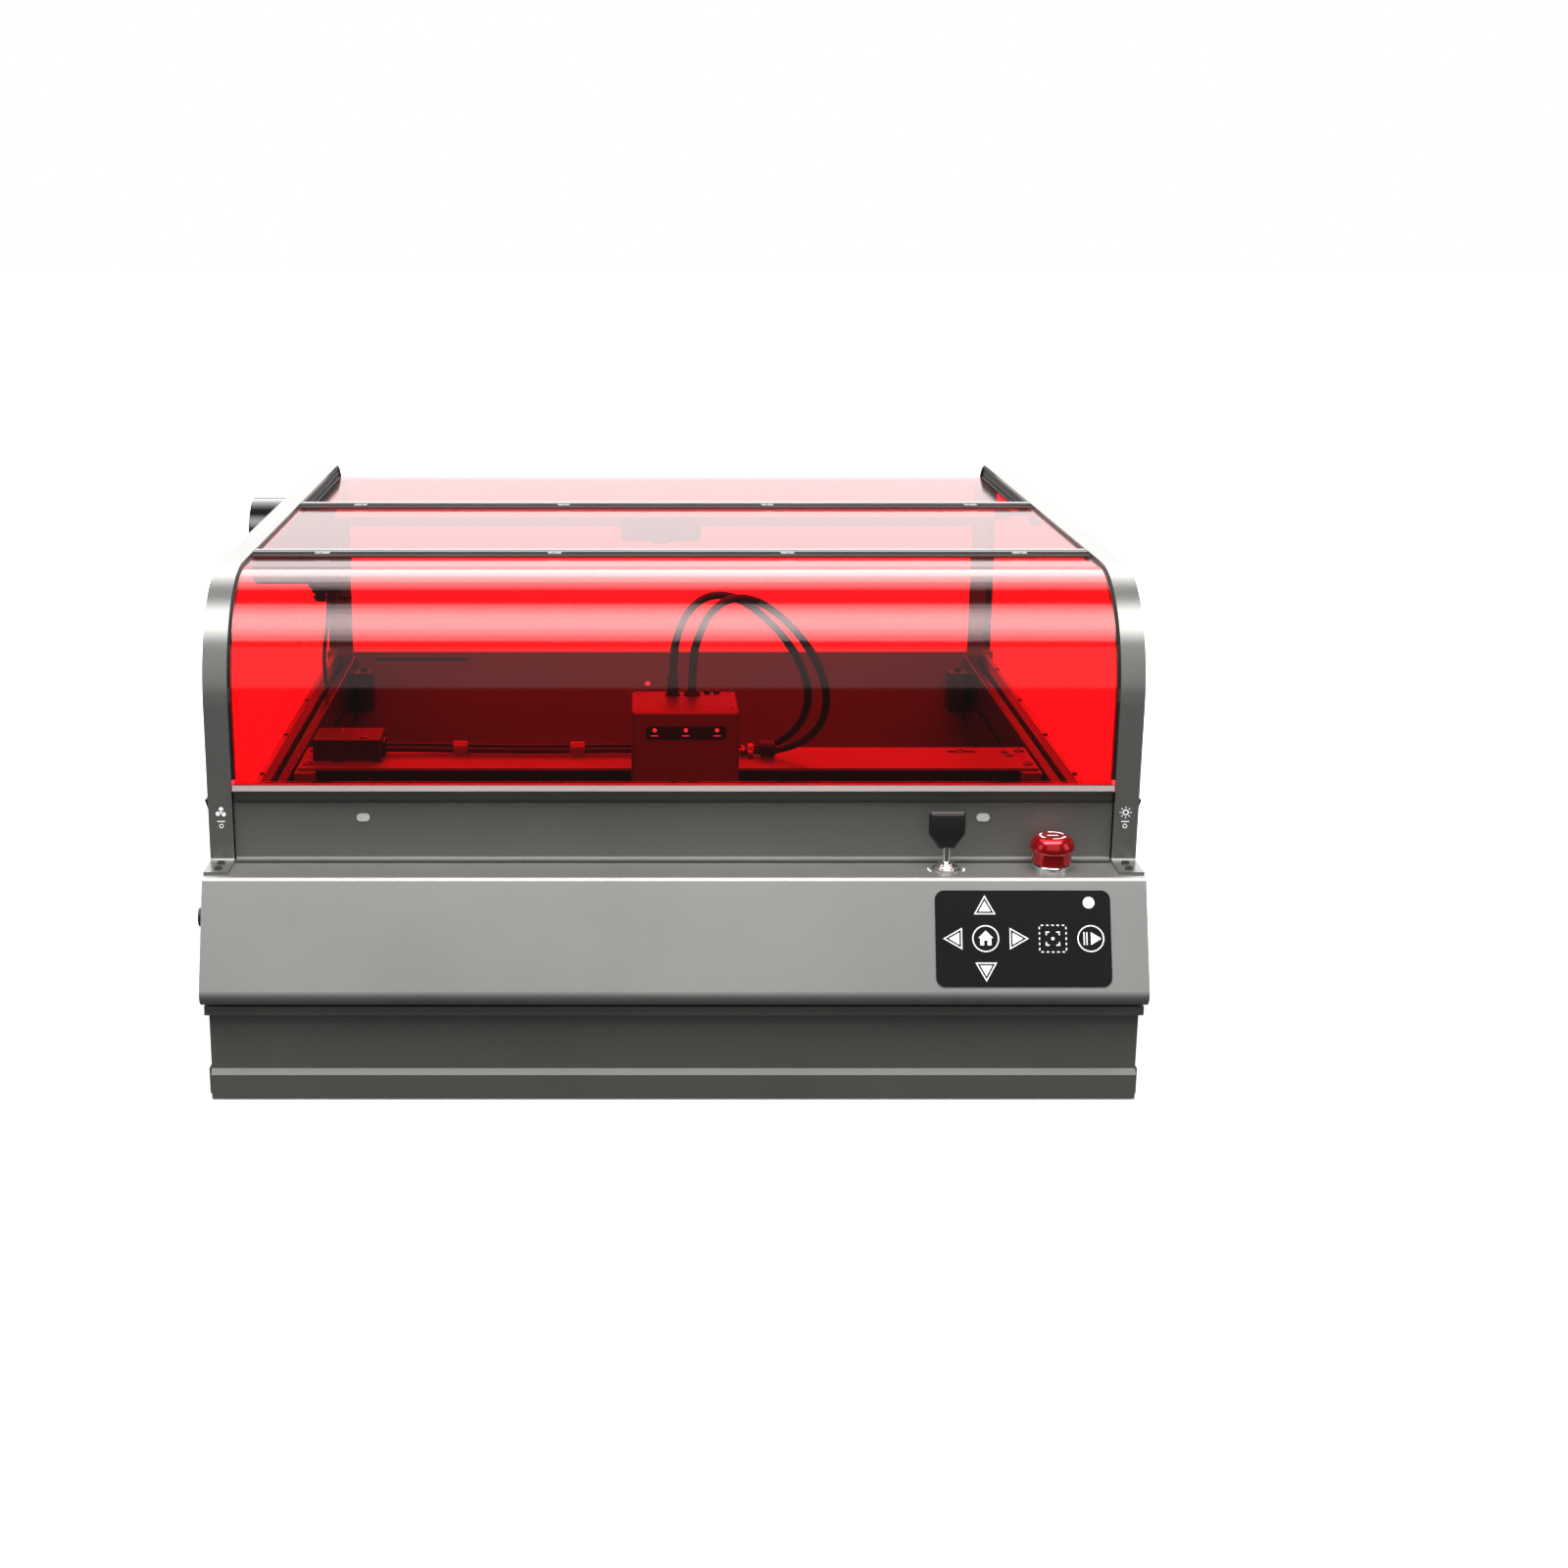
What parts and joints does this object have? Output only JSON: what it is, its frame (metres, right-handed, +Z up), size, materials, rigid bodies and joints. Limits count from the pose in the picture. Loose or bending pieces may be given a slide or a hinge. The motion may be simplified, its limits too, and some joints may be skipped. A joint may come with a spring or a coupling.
{
  "type": "laser engraver",
  "caption": "Enclosed desktop laser engraver with a hinged red window lid, moving gantry and head, drawer base, key switch and emergency stop.",
  "frame": {"origin": "middle of the cabinet on the plane that the base stands on", "axes": "+Z up, +X to the operator's right, -Y towards the operator"},
  "size_m": [0.6646, 0.6981, 0.333],
  "materials": {
    "cabinet_paint": "satin",
    "frame_paint": "satin",
    "dark_paint": "satin",
    "red_acrylic": "gloss",
    "black_extrusion": "anodised black",
    "gantry_metal": "satin",
    "black_plastic": "satin",
    "black_rubber": "matte",
    "cord_jacket": "satin",
    "head_paint": "satin",
    "knob_metal": "knurled",
    "screw_steel": "black oxide",
    "honeycomb_metal": "satin",
    "lens_glass": "gloss",
    "milky_plastic": "milky",
    "keypad_film": "satin film",
    "chrome": "polished",
    "stop_red": "gloss"
  },
  "bodies": {
    "root": {"base_tray": "dark_paint", "camera_housing": "black_plastic", "camera_lens": "lens_glass", "console_caps": "black_plastic", "control_overlay": "keypad_film", "drive_belts": "black_rubber", "end_stops": "black_plastic", "exhaust_spigot": "black_plastic", "fan_housing": "black_plastic", "fan_lead": "cord_jacket", "frame_screws": "screw_steel", "front_console": "cabinet_paint", "front_wall": "dark_paint", "front_windows": "milky_plastic", "hinge_brackets": "black_plastic", "key_barrel": "chrome", "power_inlet": "black_plastic", "rail_left": "black_extrusion", "rail_right": "black_extrusion", "rear_frame": "dark_paint", "rear_housing": "cabinet_paint", "rear_window": "red_acrylic", "side_frame_left": "frame_paint", "side_frame_right": "frame_paint", "side_panel_left": "cabinet_paint", "side_panel_right": "cabinet_paint", "side_window_left": "red_acrylic", "side_window_right": "red_acrylic", "stop_bezel": "chrome"},
    "lid": {"lid_shield": "red_acrylic", "lid_top_panel": "red_acrylic", "lid_bar_front": "frame_paint", "lid_bar_rear": "frame_paint", "lid_handle": "frame_paint", "lid_hinge_leaves": "black_plastic", "lid_screws": "screw_steel"},
    "drawer": {"drawer_front": "dark_paint", "drawer_tray": "dark_paint", "honeycomb_bed": "honeycomb_metal"},
    "gantry": {"gantry_beam": "black_extrusion", "gantry_plate": "gantry_metal", "gantry_carriages": "gantry_metal", "cable_box": "black_plastic", "cable_bundle": "cord_jacket"},
    "roller_left": {"guide_roller_left": "black_rubber"},
    "roller_right": {"guide_roller_right": "black_rubber"},
    "laser_head": {"head_housing": "head_paint", "head_cover": "head_paint", "head_slider": "head_paint", "head_nozzle": "knob_metal", "hose_fittings": "black_rubber", "head_hoses": "cord_jacket"},
    "side_knob": {"focus_knob": "knob_metal"},
    "rotor": {"fan_rotor": "black_plastic"},
    "stop_stem": {"stop_plunger": "stop_red"},
    "stop_button": {"stop_cap": "stop_red"},
    "switch_key": {"key": "black_plastic"},
    "fan_rocker": {"fan_switch": "black_plastic"},
    "light_rocker": {"light_switch": "black_plastic"},
    "power_rocker": {"power_switch": "black_plastic"}
  },
  "joints": [
    {"name": "lid_hinge", "type": "hinge", "parent": "root", "child": "lid", "pos_m": [0, 0.074, 0.324], "axis": [-1, 0, 0], "range_deg": [0, 65]},
    {"name": "drawer_slide", "type": "slide", "parent": "root", "child": "drawer", "axis": [0, -1, 0], "range_m": [0, 0.42]},
    {"name": "gantry_slide", "type": "slide", "parent": "root", "child": "gantry", "axis": [0, 1, 0], "range_m": [-0.11, 0.29]},
    {"name": "roller_left_spin", "type": "hinge", "parent": "gantry", "child": "roller_left", "pos_m": [-0.2684, -0.044, 0.13], "axis": [0, 0, 1], "range_deg": [-1700, 1700]},
    {"name": "roller_right_spin", "type": "hinge", "parent": "gantry", "child": "roller_right", "pos_m": [0.2684, -0.044, 0.13], "axis": [0, 0, 1], "range_deg": [-1700, 1700]},
    {"name": "head_slide", "type": "slide", "parent": "gantry", "child": "laser_head", "axis": [1, 0, 0], "range_m": [-0.21, 0.19], "deforming": ["head_hoses"]},
    {"name": "side_knob_turn", "type": "hinge", "parent": "laser_head", "child": "side_knob", "pos_m": [0.05, -0.131, 0.182], "axis": [1, 0, 0], "continuous": true},
    {"name": "fan_spin", "type": "hinge", "parent": "root", "child": "rotor", "pos_m": [-0.29, 0.242, 0.276], "axis": [1, 0, 0], "continuous": true},
    {"name": "stop_press", "type": "slide", "parent": "root", "child": "stop_stem", "axis": [0, 0, -1], "range_m": [0, 0.005], "stiffness_N_per_m": 1500},
    {"name": "stop_twist", "type": "hinge", "parent": "stop_stem", "child": "stop_button", "pos_m": [0.2477, -0.3015, 0.16], "axis": [0, 0, -1], "range_deg": [0, 30], "stiffness_Nm_per_rad": 0.05},
    {"name": "key_turn", "type": "hinge", "parent": "root", "child": "switch_key", "pos_m": [0.1788, -0.3015, 0.16], "axis": [0, 0, -1], "range_deg": [0, 90]},
    {"name": "fan_switch_rock", "type": "hinge", "parent": "root", "child": "fan_rocker", "pos_m": [-0.304, -0.273, 0.178], "axis": [0, 1, 0], "range_deg": [-16, 0]},
    {"name": "light_switch_rock", "type": "hinge", "parent": "root", "child": "light_rocker", "pos_m": [0.304, -0.273, 0.178], "axis": [0, 1, 0], "range_deg": [0, 16]},
    {"name": "power_switch_rock", "type": "hinge", "parent": "root", "child": "power_rocker", "pos_m": [0.304, -0.321, 0.088], "axis": [0, 0, 1], "range_deg": [-16, 0]}
  ],
  "couplings": [
    {"joint": "roller_left_spin", "follows": "gantry_slide", "rad_per_m": 100},
    {"joint": "roller_right_spin", "follows": "gantry_slide", "rad_per_m": -100}
  ]
}
